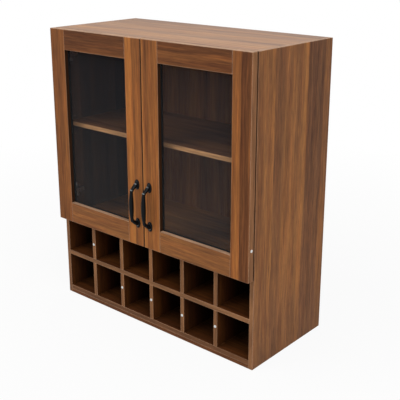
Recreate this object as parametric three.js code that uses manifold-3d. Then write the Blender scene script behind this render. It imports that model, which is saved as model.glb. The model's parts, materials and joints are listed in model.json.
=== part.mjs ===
// A wall-hung wine cabinet in walnut board: two glazed doors over a rack of bottle cubbies, two rows high.
// Millimetres, +Z up, +X to the right seen from the front, and the doors face -Y.
// The origin is the middle of the footprint, doors and handles included, on the floor or bracket that it stands on.
import * as THREE from 'three';
import { mergeVertices } from 'three/addons/utils/BufferGeometryUtils.js';
import Module from 'manifold-3d';

const wasm = await Module();
wasm.setup();

// Carcass
const cabinetWidth = 830;
const cabinetHeight = 950;
const carcassDepth = 366;
const boardThickness = 15;
const arris = 0.6;
const jointGap = 0.2;
const overrun = 5;

// Back panel, the groove that holds it and the rail that the cabinet hangs by
const backThickness = 5;
const backInset = 20;
const grooveDepth = 6;
const grooveSlack = 0.25;
const railHeight = 80;
const wallHoleRadius = 3;
const wallHoleSpacing = 500;

// Bottle rack: columns and rows of cubbies, cross-lapped boards in stopped housings
const cubbyColumns = 6;
const cubbyHeight = 121;
const stripHeight = 13;
const stripDepth = 60;
const housingDepth = 4;
const housingStop = 12;
const lapShare = 0.5;

// Shelf on four pins
const shelfTop = 633;
const shelfSetback = 26;
const shelfSideClearance = 1.5;
const shelfRearClearance = 2;
const pinHoleRadius = 2.6;
const pinHoleDepth = 11;
const pinHolePitch = 32;
const pinHoleRows = 5;
const pinHoleInset = 50;
const pinClearance = 0.15;
const pinShankLength = 10;
const pinCollarRadius = 4.5;
const pinCollarLength = 1.2;
const pinPegRadius = 3;
const pinPegLength = 8;

// Doors: stiles and rails round a pane in a rebate
const doorThickness = 22;
const doorGap = 4;
const doorSideReveal = 1;
const doorMeetingGap = 3;
const doorBase = 291;
const stileWidth = 67;
const topRailWidth = 66;
const bottomRailWidth = 70;
const frameArris = 0.8;
const rebateDepth = 8;
const rebateWidth = 9;
const tenonLength = 14;
const tenonThickness = 7;
const tenonShoulder = 12;
const tenonSetback = 3.5;
const glassThickness = 4;
const glassEdgeGap = 0.8;
const beadInnerInset = 1;
const beadEdgeGap = 0.3;

// Concealed hinges
const hingeInset = 90;
const pivotInset = 6.5;
const pivotDepth = 9.5;
const cupInset = 22.5;
const cupRadius = 17.5;
const cupBoreClearance = 0.2;
const cupDepth = 11.5;
const cupBoreFloorGap = 0.4;
const cupWall = 1;
const cupFlangeRadius = 19.5;
const cupFlangeThickness = 1.2;
const cupWingReach = 29;
const cupWingWidth = 11;
const plateSetback = 22;
const plateLength = 40;
const plateWidth = 12;
const plateThickness = 4;
const plateWingReach = 25;
const plateWingLength = 18;
const plateWingThickness = 2;
const armWall = 1.6;
const armHeight = 12;
const armSetback = 2;
const armOverhang = 4;
const linkWidth = 9;
const linkThickness = 6;
const linkInset = 21;
const linkCupGap = 2;

// Bow handles with oval feet
const handleSpan = 128;
const handleCentre = 431;
const handleInset = 25;
const handleStandoff = 27;
const handleNeckRadius = 3.6;
const handleBellyRadius = 6.2;
const handleRootRadius = 4.6;
const collarSwell = 1.3;
const collarPlaceShare = 0.24;
const collarLengthShare = 0.018;
const footWidth = 19;
const footLength = 27;
const footRim = 1.6;
const footRise = 5.2;
const footDrop = 3;
const footSeat = 0.2;
const screwRadius = 2;
const screwHoleClearance = 0.3;
const screwReach = 7;
const screwHeadRadius = 4;
const screwHeadHeight = 2.4;
// Places along the bow: how far out from the door, and how far up from its middle, as shares of
// the standoff and of the span
const bowShares = [[0.04, 0.5], [0.3, 0.485], [0.72, 0.43], [0.93, 0.33], [1, 0.17]];
const bowCrownShare = 1.03;

// Soft dots: door bumpers inside, and the pale dots on the rack's front edges and the door's edge
const dotRadius = 4.5;
const dotRim = 1;
const dotRise = 2.4;
const bumperInset = 34;
const doorDotHeight = 388;
// Heights of the dots on the dividers, from the left, as shares of the rack's height
const dotHeightShares = [0.74, 0.276, 0.268, 0.23, 0.264];

// How round things are cut into flats
const holeSides = 12;
const cupSides = 32;
const dotSides = 20;
const domeSteps = 4;
const footSides = 24;
const bowSteps = 36;
const bowSides = 12;

// Places worked out from the sizes above
const half = cabinetWidth / 2;
const inner = half - boardThickness;
const handleProjection = footSeat + handleStandoff * bowCrownShare + handleBellyRadius;
const rear = (carcassDepth + doorGap + doorThickness + handleProjection) / 2;
const front = rear - carcassDepth;
const backRear = rear - backInset;
const backFront = backRear - backThickness;
const topBase = cabinetHeight - boardThickness;
const bottomTop = stripHeight + boardThickness;
const rackShelfBase = bottomTop + cubbyHeight;
const rackShelfTop = rackShelfBase + boardThickness;
const deckBase = rackShelfTop + cubbyHeight;
const deckTop = deckBase + boardThickness;
const innerDepth = backFront - jointGap - front;
const shelfBase = shelfTop - boardThickness;
const pinLevel = shelfBase - jointGap - pinPegRadius;
const pinColumns = [front + pinHoleInset, backFront - pinHoleInset];
const doorBack = front - doorGap;
const doorFront = doorBack - doorThickness;
const doorOuter = -half + doorSideReveal;
const doorInner = -doorMeetingGap / 2;
const glassLeft = doorOuter + stileWidth;
const glassRight = doorInner - stileWidth;
const glassBase = doorBase + bottomRailWidth;
const glassTop = cabinetHeight - topRailWidth;
const rebateFloor = doorBack - rebateDepth;
const pivotX = doorOuter + pivotInset;
const pivotY = doorBack - pivotDepth;
const hingeLevels = [doorBase + hingeInset, cabinetHeight - hingeInset];
const handleX = doorInner - handleInset;
const bumperRise = doorGap - 2 * jointGap;
const dividerPitch = (cabinetWidth - boardThickness) / cubbyColumns;
const dividerPlaces = Array.from(
  { length: cubbyColumns - 1 },
  (_, i) => -half + boardThickness / 2 + dividerPitch * (i + 1),
);

// Materials
const material = (color, roughness, metalness = 0) =>
  new THREE.MeshStandardMaterial({ color, roughness, metalness });
const walnut = () => material(0x8a5a3a, 0.55);
const walnutDoor = () => material(0x96592c, 0.5);
const walnutBack = () => material(0x6f4b36, 0.6);
const blackMetal = () => material(0x15171a, 0.35, 0.6);
const steel = () => material(0xb9bcc0, 0.3, 0.9);
const blackPlastic = () => material(0x1b1a19, 0.6);
const silicone = () => material(0xd9dcdc, 0.4);
const smokedGlass = () => {
  const glass = material(0x2b2927, 0.08);
  glass.transparent = true;
  glass.opacity = 0.45;
  return glass;
};

// Boolean joins and cuts
function solidOf(geometry) {
  const bare = geometry.clone();
  bare.deleteAttribute('normal');
  bare.deleteAttribute('uv');
  const merged = mergeVertices(bare);
  return new wasm.Manifold(new wasm.Mesh({
    numProp: 3,
    vertProperties: Float32Array.from(merged.attributes.position.array),
    triVerts: Uint32Array.from(merged.index.array),
  }));
}

function geometryOf(solid) {
  const mesh = solid.getMesh();
  const geometry = new THREE.BufferGeometry();
  geometry.setAttribute('position', new THREE.BufferAttribute(Float32Array.from(mesh.vertProperties), 3));
  geometry.setIndex(new THREE.BufferAttribute(Uint32Array.from(mesh.triVerts), 1));
  geometry.computeVertexNormals();
  return geometry;
}

const cut = (body, ...tools) =>
  geometryOf(tools.reduce((solid, tool) => solid.subtract(solidOf(tool)), solidOf(body)));

const join = (body, ...others) =>
  geometryOf(others.reduce((solid, other) => solid.add(solidOf(other)), solidOf(body)));

// The same piece on the other side of the cabinet, with its faces turned to point out again
function mirrored(geometry) {
  const other = mergeVertices(geometryOf(solidOf(geometry)));
  other.scale(-1, 1, 1);
  const order = other.index.array;
  for (let i = 0; i < order.length; i += 3) {
    [order[i], order[i + 1]] = [order[i + 1], order[i]];
  }
  other.computeVertexNormals();
  return other;
}

// Basic forms
function block(low, high) {
  const size = high.map((value, i) => value - low[i]);
  const box = new THREE.BoxGeometry(...size);
  return box.translate(...low.map((value, i) => value + size[i] / 2));
}

// A board with its edges eased
function board(low, high, edge = arris) {
  const [wide, deep, tall] = high.map((value, i) => value - low[i]);
  const outline = new THREE.Shape([
    new THREE.Vector2(edge, 0),
    new THREE.Vector2(wide - edge, 0),
    new THREE.Vector2(wide, edge),
    new THREE.Vector2(wide, deep - edge),
    new THREE.Vector2(wide - edge, deep),
    new THREE.Vector2(edge, deep),
    new THREE.Vector2(0, deep - edge),
    new THREE.Vector2(0, edge),
  ]);
  return easedExtrude(outline, tall, edge).translate(...low);
}

function easedExtrude(outline, thickness, edge = arris) {
  const eased = new THREE.ExtrudeGeometry(outline, {
    depth: thickness - 2 * edge,
    bevelThickness: edge,
    bevelSize: edge,
    bevelOffset: -edge,
    bevelSegments: 1,
  });
  return eased.translate(0, 0, edge);
}

// Turned pieces stand on Z; these lay them along +X or along +Y or -Y
const alongX = (geometry) => geometry.rotateY(Math.PI / 2);
const alongFront = (geometry) => geometry.rotateX(Math.PI / 2);
const alongRear = (geometry) => geometry.rotateX(-Math.PI / 2);

function turned(points, sides) {
  const profile = points.map(([radius, height]) => new THREE.Vector2(radius, height));
  return new THREE.LatheGeometry(profile, sides).rotateX(Math.PI / 2);
}

const rod = (radius, length, sides = holeSides) =>
  turned([[0, 0], [radius, 0], [radius, length], [0, length]], sides);

// A low dome on a short straight rim, standing on Z
function dome(radius, rim, rise, sides) {
  const points = [[0, 0], [radius, 0]];
  for (let i = 0; i <= domeSteps; i += 1) {
    const angle = (i / domeSteps) * Math.PI / 2;
    points.push([radius * Math.cos(angle), rim + (rise - rim) * Math.sin(angle)]);
  }
  points[points.length - 1][0] = 0;
  return turned(points, sides);
}

// Carcass boards
function sidePanel() {
  const panel = board([-half, front, 0], [-inner, rear, cabinetHeight]);
  const groove = block(
    [-inner - grooveDepth, backFront - grooveSlack, bottomTop - grooveDepth],
    [-inner + overrun, backRear + grooveSlack, topBase + grooveDepth],
  );
  const pinHoles = pinColumns.flatMap((y) => Array.from({ length: pinHoleRows }, (_, row) => {
    const rise = (row - (pinHoleRows - 1) / 2) * pinHolePitch;
    const hole = alongX(rod(pinHoleRadius, pinHoleDepth + overrun));
    return hole.translate(-inner - pinHoleDepth, y, pinLevel + rise);
  }));
  return cut(panel, groove, ...pinHoles);
}

const backGroove = (low, high) => block(
  [-inner - overrun, backFront - grooveSlack, low],
  [inner + overrun, backRear + grooveSlack, high],
);

function topPanel() {
  const panel = board([-inner + jointGap, front, topBase], [inner - jointGap, rear, cabinetHeight]);
  return cut(panel, backGroove(topBase - overrun, topBase + grooveDepth));
}

// The slots that the dividers' ends stand in, stopped short of the front edge
const housings = (low, high) => dividerPlaces.map((x) => block(
  [x - boardThickness / 2 - jointGap, front + housingStop, low],
  [x + boardThickness / 2 + jointGap, backFront - jointGap, high],
));

function bottomPanel() {
  const panel = board([-inner + jointGap, front, stripHeight], [inner - jointGap, rear, bottomTop]);
  return cut(
    panel,
    backGroove(bottomTop - grooveDepth, bottomTop + overrun),
    ...housings(bottomTop - housingDepth, bottomTop + overrun),
  );
}

function deckPanel() {
  const panel = board(
    [-inner + jointGap, front, deckBase],
    [inner - jointGap, backFront - jointGap, deckTop],
  );
  return cut(panel, ...housings(deckBase - overrun, deckBase + housingDepth));
}

const bottomStrip = () => board(
  [-inner + jointGap, front, 0],
  [inner - jointGap, front + stripDepth, stripHeight - jointGap],
);

// Clearance holes for the wall screws, through the rail and the back panel
const wallHoles = () => [-1, 1].map((side) => {
  const hole = alongRear(rod(wallHoleRadius, backInset + backThickness + 2 * overrun));
  return hole.translate(
    side * wallHoleSpacing / 2,
    backFront - overrun,
    topBase - jointGap - railHeight / 2,
  );
});

function backPanel() {
  const reach = inner + grooveDepth - grooveSlack;
  const sheet = board(
    [-reach, backFront, bottomTop - grooveDepth + grooveSlack],
    [reach, backRear, topBase + grooveDepth - grooveSlack],
    arris / 2,
  );
  return cut(sheet, ...wallHoles());
}

function hangingRail() {
  const top = topBase - jointGap;
  const rail = board([-inner + jointGap, backRear + jointGap, top - railHeight], [inner - jointGap, rear, top]);
  return cut(rail, ...wallHoles());
}

// Bottle rack
function rackDivider() {
  const slotRear = front + innerDepth * lapShare;
  const back = backFront - jointGap;
  const tongueFront = front + housingStop + jointGap;
  const base = bottomTop + jointGap;
  const top = deckBase - jointGap;
  const outline = new THREE.Shape([
    [front, base],
    [tongueFront, base],
    [tongueFront, base - housingDepth],
    [back - jointGap, base - housingDepth],
    [back - jointGap, top + housingDepth],
    [tongueFront, top + housingDepth],
    [tongueFront, top],
    [front, top],
    [front, rackShelfTop + jointGap],
    [slotRear, rackShelfTop + jointGap],
    [slotRear, rackShelfBase - jointGap],
    [front, rackShelfBase - jointGap],
  ].map((point) => new THREE.Vector2(...point)));
  const upright = easedExtrude(outline, boardThickness);
  return upright.rotateX(Math.PI / 2).rotateZ(Math.PI / 2).translate(-boardThickness / 2, 0, 0);
}

function rackShelf() {
  const slotFront = front + innerDepth * lapShare - jointGap;
  const back = backFront - jointGap;
  const reach = inner - jointGap;
  const slotHalf = boardThickness / 2 + jointGap;
  const points = [[-reach, back], [-reach, front], [reach, front], [reach, back]];
  for (const x of [...dividerPlaces].reverse()) {
    points.push([x + slotHalf, back], [x + slotHalf, slotFront], [x - slotHalf, slotFront], [x - slotHalf, back]);
  }
  const outline = new THREE.Shape(points.map((point) => new THREE.Vector2(...point)));
  return easedExtrude(outline, boardThickness).translate(0, 0, rackShelfBase);
}

// Shelf and its pins
const adjustableShelf = () => board(
  [-inner + shelfSideClearance, front + shelfSetback, shelfBase],
  [inner - shelfSideClearance, backFront - shelfRearClearance, shelfTop],
);

function shelfPin() {
  const shank = pinHoleRadius - pinClearance;
  const collarEnd = pinShankLength + pinCollarLength;
  const pin = turned([
    [0, 0],
    [shank, 0],
    [shank, pinShankLength],
    [pinCollarRadius, pinShankLength],
    [pinCollarRadius, collarEnd],
    [pinPegRadius, collarEnd],
    [pinPegRadius, collarEnd + pinPegLength],
    [0, collarEnd + pinPegLength],
  ], holeSides);
  return alongX(pin).translate(-inner - pinShankLength + pinClearance, 0, pinLevel);
}

// Door frame, left door
const cupBore = (level) => alongRear(rod(cupRadius + cupBoreClearance, cupDepth + overrun, cupSides))
  .translate(doorOuter + cupInset, doorBack - cupDepth - cupBoreFloorGap, level);

const rebate = () => block(
  [glassLeft - rebateWidth, rebateFloor, glassBase - rebateWidth],
  [glassRight + rebateWidth, doorBack + overrun, glassTop + rebateWidth],
);

// The tenon on a rail's end, from the glass side of a stile into it, grown by a gap for its mortise
function tenon(edge, towards, low, high, gap) {
  const length = tenonLength + gap;
  const root = edge - towards * overrun;
  const tip = edge + towards * length;
  const back = rebateFloor - tenonSetback + gap;
  return block(
    [Math.min(root, tip), back - tenonThickness - 2 * gap, low + tenonShoulder - gap],
    [Math.max(root, tip), back, high - tenonShoulder + gap],
  );
}

const railLevels = [[doorBase, glassBase], [glassTop, cabinetHeight]];

const mortises = (edge, towards) =>
  railLevels.map(([low, high]) => tenon(edge, towards, low, high, jointGap));

function outerStile() {
  const stile = board([doorOuter, doorFront, doorBase], [glassLeft, doorBack, cabinetHeight], frameArris);
  return cut(stile, rebate(), ...mortises(glassLeft, -1), ...hingeLevels.map(cupBore));
}

const handleLevels = [handleCentre - handleSpan / 2, handleCentre + handleSpan / 2];

function innerStile() {
  const stile = board([glassRight, doorFront, doorBase], [doorInner, doorBack, cabinetHeight], frameArris);
  const screwHoles = handleLevels.map((level) => {
    const hole = alongRear(rod(screwRadius + screwHoleClearance, doorThickness + 2 * overrun));
    return hole.translate(handleX, doorFront - overrun, level);
  });
  return cut(stile, rebate(), ...mortises(glassRight, 1), ...screwHoles);
}

function doorRail([low, high]) {
  const left = glassLeft + jointGap;
  const right = glassRight - jointGap;
  const rail = board([left, doorFront, low], [right, doorBack, high], frameArris);
  const shaped = cut(rail, rebate());
  return join(shaped, tenon(left, -1, low, high, 0), tenon(right, 1, low, high, 0));
}

function glassPane() {
  const reach = rebateWidth - glassEdgeGap;
  const base = rebateFloor + jointGap;
  return board(
    [glassLeft - reach, base, glassBase - reach],
    [glassRight + reach, base + glassThickness, glassTop + reach],
    arris / 2,
  );
}

// The snap-in bead behind the pane: one mitred ring that fills the rest of the rebate
function glassBead() {
  const reach = rebateWidth - beadEdgeGap;
  const outline = new THREE.Shape([
    new THREE.Vector2(glassLeft - reach, glassBase - reach),
    new THREE.Vector2(glassRight + reach, glassBase - reach),
    new THREE.Vector2(glassRight + reach, glassTop + reach),
    new THREE.Vector2(glassLeft - reach, glassTop + reach),
  ]);
  outline.holes.push(new THREE.Path([
    new THREE.Vector2(glassLeft + beadInnerInset, glassBase + beadInnerInset),
    new THREE.Vector2(glassLeft + beadInnerInset, glassTop - beadInnerInset),
    new THREE.Vector2(glassRight - beadInnerInset, glassTop - beadInnerInset),
    new THREE.Vector2(glassRight - beadInnerInset, glassBase + beadInnerInset),
  ]));
  const thickness = rebateDepth - glassThickness - 2 * jointGap;
  const ring = easedExtrude(outline, thickness, arris / 2);
  return ring.rotateX(Math.PI / 2).translate(0, doorBack, 0);
}

// Concealed hinge: a cup let into the door, a plate on the side panel, and the arm between them
function hingeCup(level) {
  const x = doorOuter + cupInset;
  const well = turned([
    [0, 0],
    [cupRadius, 0],
    [cupRadius, cupDepth],
    [cupFlangeRadius, cupDepth],
    [cupFlangeRadius, cupDepth + cupFlangeThickness],
    [cupRadius - cupWall, cupDepth + cupFlangeThickness],
    [cupRadius - cupWall, cupWall],
    [0, cupWall],
  ], cupSides);
  const wing = (side) => {
    const near = cupRadius - cupWall / 2;
    const lows = [-cupWingWidth / 2, Math.min(side * near, side * cupWingReach), cupDepth];
    const highs = [cupWingWidth / 2, Math.max(side * near, side * cupWingReach), cupDepth + cupFlangeThickness];
    return block(lows, highs);
  };
  const cup = join(well, wing(-1), wing(1));
  return alongRear(cup).translate(x, doorBack - cupDepth + jointGap, level);
}

function hingePlate(level) {
  const foot = -inner + jointGap;
  const start = front + plateSetback;
  const middle = start + plateLength / 2;
  const body = board(
    [foot, start, level - plateWidth / 2],
    [foot + plateThickness, start + plateLength, level + plateWidth / 2],
  );
  const wings = board(
    [foot, middle - plateWingLength / 2, level - plateWingReach],
    [foot + plateWingThickness, middle + plateWingLength / 2, level + plateWingReach],
  );
  return join(body, wings);
}

function hingeArm(level) {
  const foot = -inner + jointGap;
  const base = foot + plateWingThickness + jointGap;
  const start = front + armSetback;
  const end = front + plateSetback + plateLength + armOverhang;
  const reach = plateWidth / 2 + jointGap + armWall;
  const channel = board([base, start, level - reach], [foot + armHeight, end, level + reach]);
  const hollow = block(
    [base - overrun, start + armWall, level - plateWidth / 2 - jointGap],
    [foot + armHeight - armWall, end + overrun, level + plateWidth / 2 + jointGap],
  );
  const linkLeft = doorOuter + linkInset;
  const link = board(
    [linkLeft, doorBack - cupDepth + cupWall + linkCupGap, level - linkWidth / 2],
    [linkLeft + linkThickness, start + overrun, level + linkWidth / 2],
  );
  return join(cut(channel, hollow), link);
}

// Bow handle: a tapered bar swept along a curve between two oval feet
function bowRadius(share) {
  const fromEnd = Math.min(share, 1 - share);
  const belly = Math.sin(Math.PI * share) ** 2;
  const root = Math.max(0, 1 - fromEnd / collarPlaceShare);
  const collar = Math.exp(-(((fromEnd - collarPlaceShare) / collarLengthShare) ** 2));
  return handleNeckRadius
    + (handleBellyRadius - handleNeckRadius) * belly
    + (handleRootRadius - handleNeckRadius) * root
    + collarSwell * collar;
}

function bowBar() {
  const lower = bowShares.map(([out, along]) =>
    new THREE.Vector3(0, -out * handleStandoff, -along * handleSpan));
  const upper = lower.map((point) => new THREE.Vector3(0, point.y, -point.z)).reverse();
  const middle = new THREE.Vector3(0, -handleStandoff * bowCrownShare, 0);
  const curve = new THREE.CatmullRomCurve3([...lower, middle, ...upper]);
  return tapered(curve, bowSteps, bowSides, bowRadius);
}

// A closed round bar along a curve in the plane across X, with a radius for each place along it
function tapered(curve, steps, sides, radiusAt) {
  const across = new THREE.Vector3(1, 0, 0);
  const places = [];
  const faces = [];
  for (let step = 0; step <= steps; step += 1) {
    const share = step / steps;
    const centre = curve.getPointAt(share);
    const outward = new THREE.Vector3().crossVectors(curve.getTangentAt(share), across);
    for (let side = 0; side < sides; side += 1) {
      const angle = (side / sides) * 2 * Math.PI;
      const place = centre.clone()
        .addScaledVector(across, radiusAt(share) * Math.cos(angle))
        .addScaledVector(outward, radiusAt(share) * Math.sin(angle));
      places.push(...place.toArray());
    }
  }
  for (let step = 0; step < steps; step += 1) {
    for (let side = 0; side < sides; side += 1) {
      const a = step * sides + side;
      const b = step * sides + (side + 1) % sides;
      faces.push(a, b, a + sides, b, b + sides, a + sides);
    }
  }
  for (let side = 1; side < sides - 1; side += 1) {
    const last = steps * sides;
    faces.push(0, side + 1, side, last, last + side, last + side + 1);
  }
  const bar = new THREE.BufferGeometry();
  bar.setAttribute('position', new THREE.Float32BufferAttribute(places, 3));
  bar.setIndex(faces);
  return bar;
}

// An oval foot, its longer end pointing away from the bow's middle
function bowFoot(side) {
  const oval = dome(footWidth / 2, footRim, footRise, footSides);
  oval.scale(1, footLength / footWidth, 1);
  return alongFront(oval).translate(0, 0, side * (handleSpan / 2 + footDrop));
}

function bowHandle() {
  const body = join(bowBar(), bowFoot(-1), bowFoot(1));
  const screwHoles = [-1, 1].map((side) => {
    const hole = alongRear(rod(screwRadius + screwHoleClearance / 2, screwReach + overrun));
    return hole.translate(0, -screwReach, side * handleSpan / 2);
  });
  return cut(body, ...screwHoles).translate(handleX, doorFront - footSeat, handleCentre);
}

function handleScrew(level) {
  const shank = doorThickness + screwReach - jointGap;
  const screw = turned([
    [0, 0],
    [screwRadius, 0],
    [screwRadius, shank],
    [screwHeadRadius, shank],
    [screwHeadRadius, shank + screwHeadHeight / 2],
    [screwHeadRadius / 2, shank + screwHeadHeight],
    [0, shank + screwHeadHeight],
  ], holeSides);
  return alongRear(screw).translate(handleX, doorBack + jointGap - shank, level);
}

// Soft dots
const edgeDot = (x, level) => alongFront(dome(dotRadius, dotRim, dotRise, dotSides))
  .translate(x, front - jointGap, level);

const doorEdgeDot = () => alongX(dome(dotRadius, dotRim, dotRise, dotSides))
  .translate(-doorOuter + jointGap, (doorBack + doorFront) / 2, doorDotHeight);

const doorBumper = () => alongFront(dome(dotRadius, dotRim, bumperRise, dotSides))
  .translate(-bumperInset, front - jointGap, topBase + boardThickness / 2);

// Assembly: each piece hangs from its own middle, and each door from its hinge axis
const cabinet = new THREE.Group();
const leftDoor = new THREE.Group();
const rightDoor = new THREE.Group();
leftDoor.position.set(pivotX, pivotY, 0);
rightDoor.position.set(-pivotX, pivotY, 0);
cabinet.add(leftDoor, rightDoor);

function add(group, name, geometry, finish) {
  const body = geometry.clone();
  body.computeBoundingBox();
  const middle = body.boundingBox.getCenter(new THREE.Vector3());
  body.translate(-middle.x, -middle.y, -middle.z);
  const mesh = new THREE.Mesh(body, finish());
  mesh.name = name;
  mesh.position.copy(middle).sub(group.position);
  group.add(mesh);
}

function addPair(groups, names, geometry, finish) {
  add(groups[0], names[0], geometry, finish);
  add(groups[1], names[1], mirrored(geometry), finish);
}

const carcassPair = [cabinet, cabinet];
const doorPair = [leftDoor, rightDoor];
const leftAndRight = (name) => [`left_${name}`, `right_${name}`];

addPair(carcassPair, leftAndRight('side_panel'), sidePanel(), walnut);
add(cabinet, 'top_panel', topPanel(), walnut);
add(cabinet, 'deck_panel', deckPanel(), walnut);
add(cabinet, 'bottom_panel', bottomPanel(), walnut);
add(cabinet, 'bottom_front_strip', bottomStrip(), walnut);
add(cabinet, 'back_panel', backPanel(), walnutBack);
add(cabinet, 'hanging_rail', hangingRail(), walnutBack);
add(cabinet, 'rack_shelf', rackShelf(), walnut);
dividerPlaces.forEach((x, i) => {
  add(cabinet, `rack_divider_${i + 1}`, rackDivider().translate(x, 0, 0), walnut);
});

add(cabinet, 'adjustable_shelf', adjustableShelf(), walnut);
pinColumns.forEach((y, i) => {
  const place = ['front', 'rear'][i];
  addPair(carcassPair, leftAndRight(`${place}_shelf_pin`), shelfPin().translate(0, y, 0), steel);
});

addPair(doorPair, leftAndRight('door_outer_stile'), outerStile(), walnutDoor);
addPair(doorPair, leftAndRight('door_inner_stile'), innerStile(), walnutDoor);
addPair(doorPair, leftAndRight('door_bottom_rail'), doorRail(railLevels[0]), walnutDoor);
addPair(doorPair, leftAndRight('door_top_rail'), doorRail(railLevels[1]), walnutDoor);
addPair(doorPair, leftAndRight('door_glass'), glassPane(), smokedGlass);
addPair(doorPair, leftAndRight('door_glass_bead'), glassBead(), blackPlastic);

hingeLevels.forEach((level, i) => {
  const place = ['lower', 'upper'][i];
  addPair(doorPair, leftAndRight(`${place}_hinge_cup`), hingeCup(level), steel);
  addPair(carcassPair, leftAndRight(`${place}_hinge_plate`), hingePlate(level), steel);
  addPair(carcassPair, leftAndRight(`${place}_hinge_arm`), hingeArm(level), steel);
});

addPair(doorPair, leftAndRight('handle'), bowHandle(), blackMetal);
handleLevels.forEach((level, i) => {
  const place = ['lower', 'upper'][i];
  addPair(doorPair, leftAndRight(`${place}_handle_screw`), handleScrew(level), steel);
});

addPair(carcassPair, leftAndRight('door_bumper'), doorBumper(), silicone);
dividerPlaces.forEach((x, i) => {
  const level = bottomTop + dotHeightShares[i] * (deckBase - bottomTop);
  add(cabinet, `edge_dot_${i + 1}`, edgeDot(x, level), silicone);
});
add(rightDoor, 'door_edge_dot', doorEdgeDot(), silicone);

export default cabinet;
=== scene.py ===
"""Looks of a walnut wine cabinet: two doors of smoked glass over a rack of bottle cubbies.

Metres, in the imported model's frame: +Z up, +X to the viewer's right, and the doors face -Y.
"""
import json
import math

import bmesh
import bpy
from mathutils import Matrix, Vector


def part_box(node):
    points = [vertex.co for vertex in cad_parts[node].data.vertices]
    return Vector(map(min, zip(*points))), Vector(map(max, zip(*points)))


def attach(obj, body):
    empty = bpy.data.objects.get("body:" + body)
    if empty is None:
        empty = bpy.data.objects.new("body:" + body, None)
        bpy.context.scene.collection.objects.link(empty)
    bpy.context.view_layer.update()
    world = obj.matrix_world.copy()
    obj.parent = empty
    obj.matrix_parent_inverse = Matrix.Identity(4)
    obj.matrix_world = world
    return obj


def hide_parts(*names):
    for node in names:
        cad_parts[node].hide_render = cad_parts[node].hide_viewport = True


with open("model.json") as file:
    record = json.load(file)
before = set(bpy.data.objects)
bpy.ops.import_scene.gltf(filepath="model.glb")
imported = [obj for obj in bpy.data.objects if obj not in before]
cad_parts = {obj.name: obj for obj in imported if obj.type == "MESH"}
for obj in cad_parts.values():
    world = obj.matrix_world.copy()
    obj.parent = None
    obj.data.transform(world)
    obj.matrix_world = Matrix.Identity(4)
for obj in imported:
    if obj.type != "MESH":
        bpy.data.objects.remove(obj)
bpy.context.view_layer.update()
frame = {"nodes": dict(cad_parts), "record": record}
nodes = frame["nodes"]
scene = bpy.context.scene
MM = 0.001

# Camera: the photograph is 400 pixels wide
IMAGE_PIXELS = 400
FOCAL_PIXELS = 777
SENSOR_WIDTH = 36
CAMERA_PLACE = (1.628, -1.797, 1.25)
CAMERA_AZIMUTH = math.radians(40.77)
CAMERA_PITCH = math.radians(16.92)
LENS_SHIFT = -0.08

# Light: a plain white studio. A lamp's strength is how bright a white surface facing it becomes
WHITE = (1, 1, 1, 1)
WHITE_GLOW = 1.0
SKY_LIGHT = 0.30
LAMPS = {
    "key": {"place": (-1.3, -2.8, 2.3), "size": 2.2, "strength": 0.40},
    "fill": {"place": (2.7, -1.2, 2.1), "size": 2.0, "strength": 0.47},
    "overhead": {"place": (0.0, -0.3, 3.3), "size": 2.2, "strength": 0.48},
}
AIM = (0, 0, 0.5)
FLOOR_SIZE = 40
FLOOR_DROP = 0.5 * MM
FLOOR_COLOUR = (0.70, 0.70, 0.70, 1)
FLOOR_GLOW_NEAR = 0.92
FLOOR_GLOW_REACH = (0.7, 2.4)

# Noise: its usual detail, and the span that most of it lies in
NOISE_DETAIL = 2.0
NOISE_SPAN = (0.3, 0.7)

# Wood tones from the darkest streak to the lightest, as linear colours
WOOD_TONES = [
    (0.0, (0.055, 0.021, 0.009)),
    (0.3, (0.120, 0.046, 0.017)),
    (0.5, (0.185, 0.073, 0.025)),
    (0.7, (0.265, 0.105, 0.032)),
    (0.85, (0.340, 0.135, 0.038)),
    (1.0, (0.430, 0.178, 0.048)),
]
# What the wood is multiplied by, from its coolest streaks to its reddest
BLUSH_TONES = [(0.0, (0.98, 1.01, 1.01)), (0.5, (1.0, 1.0, 1.0)), (1.0, (1.035, 0.98, 0.98))]
BLUSH_SPAN = (0.36, 0.64)

# Wood noises: scale along the grain, across it and through the board, then detail and roughness
WOOD_NOISES = {
    "wander": ((1.5, 6.0, 4.0), 1.0, 0.5),
    "feather": ((9.0, 30.0, 20.0), 2.0, 0.5),
    "broad": ((0.8, 21.0, 11.0), 1.5, 0.5),
    "streak": ((3.0, 60.0, 40.0), 2.0, 0.6),
    "line": ((8.0, 200.0, 120.0), 2.0, 0.65),
    "fibre": ((22.0, 600.0, 450.0), 1.0, 0.5),
    "pores": ((35.0, 1100.0, 800.0), 1.0, 0.5),
    "blush": ((4.0, 90.0, 60.0), 2.0, 0.5),
}
SEED_STEP = (1.7, 3.1, 0.9)
BLUSH_SEED_STEP = (2.3, 0.7, 1.9)

# How far the grain strays across the board, and how strongly each noise shifts the tone
WANDER_REACH = 20 * MM
FEATHER_REACH = 6 * MM
BROAD_AMOUNT = 0.35
STREAK_AMOUNT = 0.60
LINE_AMOUNT = 0.78
FIBRE_AMOUNT = 0.42

# Bands left to chance lie between these tones. Plain swells keep set bands the same along a board
CHANCE_TONES = (0.36, 0.68)
PLAIN_SWELLS = ((0, 1.0, 0.5), (1, 1.0, 0.5))

PORE_SPAN = (0.60, 0.72)
PORE_COVER = 0.45
PORE_TONE = (0.040, 0.017, 0.008, 1)

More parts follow.
